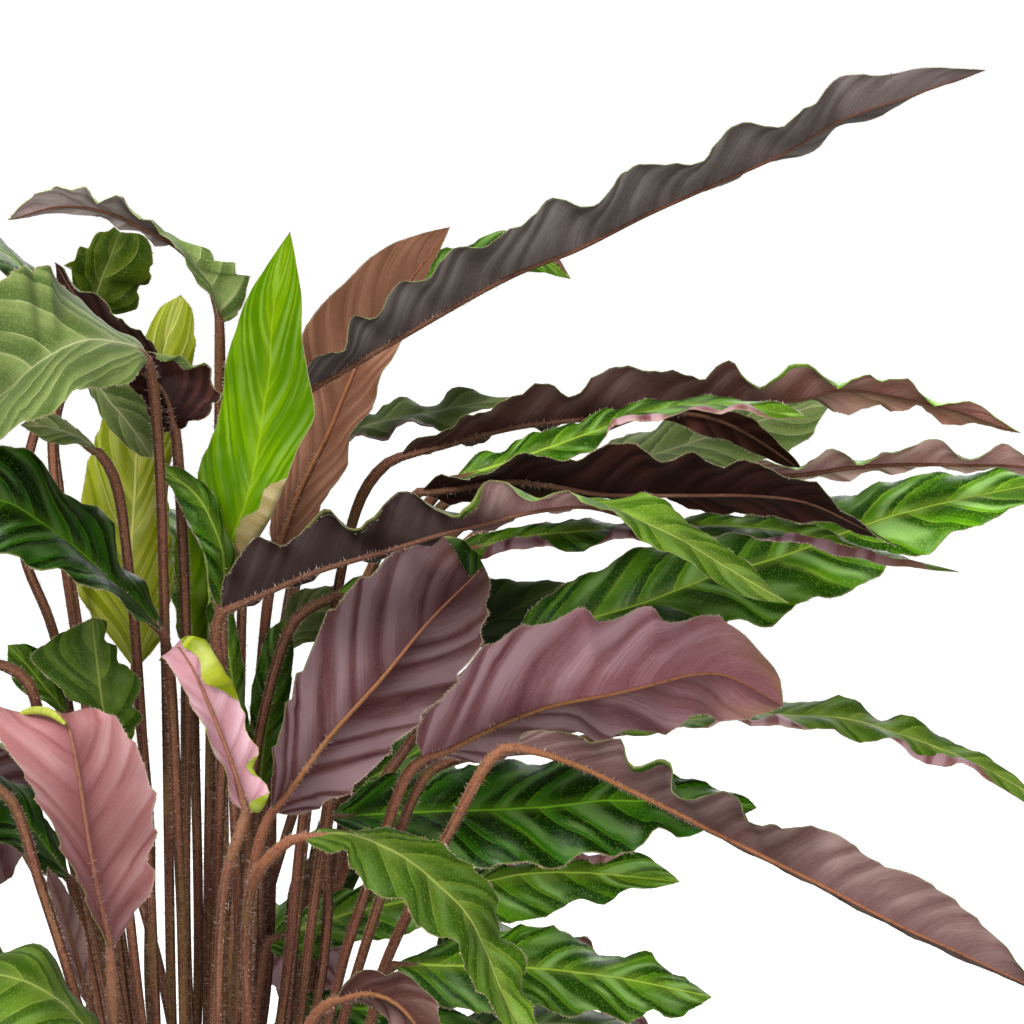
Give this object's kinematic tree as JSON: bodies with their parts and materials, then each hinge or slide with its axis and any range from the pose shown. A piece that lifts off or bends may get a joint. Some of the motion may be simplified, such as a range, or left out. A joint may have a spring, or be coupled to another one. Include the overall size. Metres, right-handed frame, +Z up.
{
  "type": "potted calathea plant",
  "caption": "Clump of long-stalked, wave-edged leaves, green above and purple below, in a round tapered pot filled with soil.",
  "frame": {"origin": "middle of the pot's flat underside", "axes": "+Z up along the pot's axis; -Y faces the viewer of the picture and +X is to the viewer's right, the way the longest leaves lean"},
  "size_m": [0.7218, 0.5684, 0.7232],
  "materials": {
    "pot": "satin",
    "soil": "matte",
    "crown": "matte",
    "leaf_charcoal": "matte",
    "leaf_copper": "matte",
    "leaf_dark": "gloss",
    "leaf_green": "satin",
    "leaf_grey": "satin",
    "leaf_lime": "gloss",
    "leaf_maroon": "matte",
    "leaf_mauve": "matte",
    "leaf_olive": "satin",
    "leaf_pink": "matte",
    "leaf_purple": "matte",
    "leaf_yellow": "gloss"
  },
  "bodies": {
    "root": {"pot": "pot", "soil": "soil", "crown": "crown", "shoot_back": "leaf_green", "shoot_left": "leaf_green", "shoot_right_low": "leaf_green", "shoot_front_low": "leaf_green", "leaf_01_arched_left": "leaf_grey", "leaf_02_small_upright": "leaf_green", "leaf_03_sliver": "leaf_maroon", "leaf_04_broad_left": "leaf_grey", "leaf_05_pleated_maroon": "leaf_maroon", "leaf_06_new_yellow": "leaf_yellow", "leaf_07_hanging": "leaf_grey", "leaf_08_narrow": "leaf_green", "leaf_09_glossy_left": "leaf_dark", "leaf_10_small_left": "leaf_grey", "leaf_11_new_lime": "leaf_lime", "leaf_12_copper": "leaf_copper", "leaf_13_longest": "leaf_charcoal", "leaf_14_behind_longest": "leaf_green", "leaf_15_grey_wavy": "leaf_grey", "leaf_16_purple_wavy": "leaf_purple", "leaf_17_twisting": "leaf_green", "leaf_18_pale_broad": "leaf_grey", "leaf_19_dark_small": "leaf_maroon", "leaf_20_far_right": "leaf_mauve", "leaf_21_maroon": "leaf_maroon", "leaf_22_front_twisted": "leaf_mauve", "leaf_23_narrow_lobed": "leaf_green", "leaf_24_bright_broad": "leaf_green", "leaf_25_olive_behind": "leaf_olive", "leaf_26_purple_broad": "leaf_purple", "leaf_27_purple_right": "leaf_purple", "leaf_28_mauve_drooping": "leaf_mauve", "leaf_29_far_narrow": "leaf_green", "leaf_30_dark_right": "leaf_dark", "leaf_31_behind_purple": "leaf_green", "leaf_32_long_low": "leaf_green", "leaf_33_bottom_right": "leaf_green", "leaf_34_front_olive": "leaf_olive", "leaf_35_pale_inner": "leaf_olive", "leaf_36_purple_low": "leaf_purple", "leaf_37_dark_low": "leaf_dark", "leaf_38_low_right": "leaf_green", "leaf_39_pink_front": "leaf_pink", "leaf_40_pink_narrow": "leaf_pink", "leaf_41_dark_jagged": "leaf_dark", "leaf_42_off_left": "leaf_green", "leaf_43_green_left": "leaf_green", "leaf_44_dark_left": "leaf_dark", "leaf_45_bottom_left": "leaf_green", "leaf_46_lilac_narrow": "leaf_mauve", "leaf_47_inner_green": "leaf_green", "leaf_48_inner_right": "leaf_green", "leaf_49_inner_olive": "leaf_lime", "leaf_50_arched_inner": "leaf_green", "leaf_51_grey_inner": "leaf_grey", "leaf_52_off_left_top": "leaf_green", "leaf_53_off_left_low": "leaf_dark"}
  },
  "joints": []
}
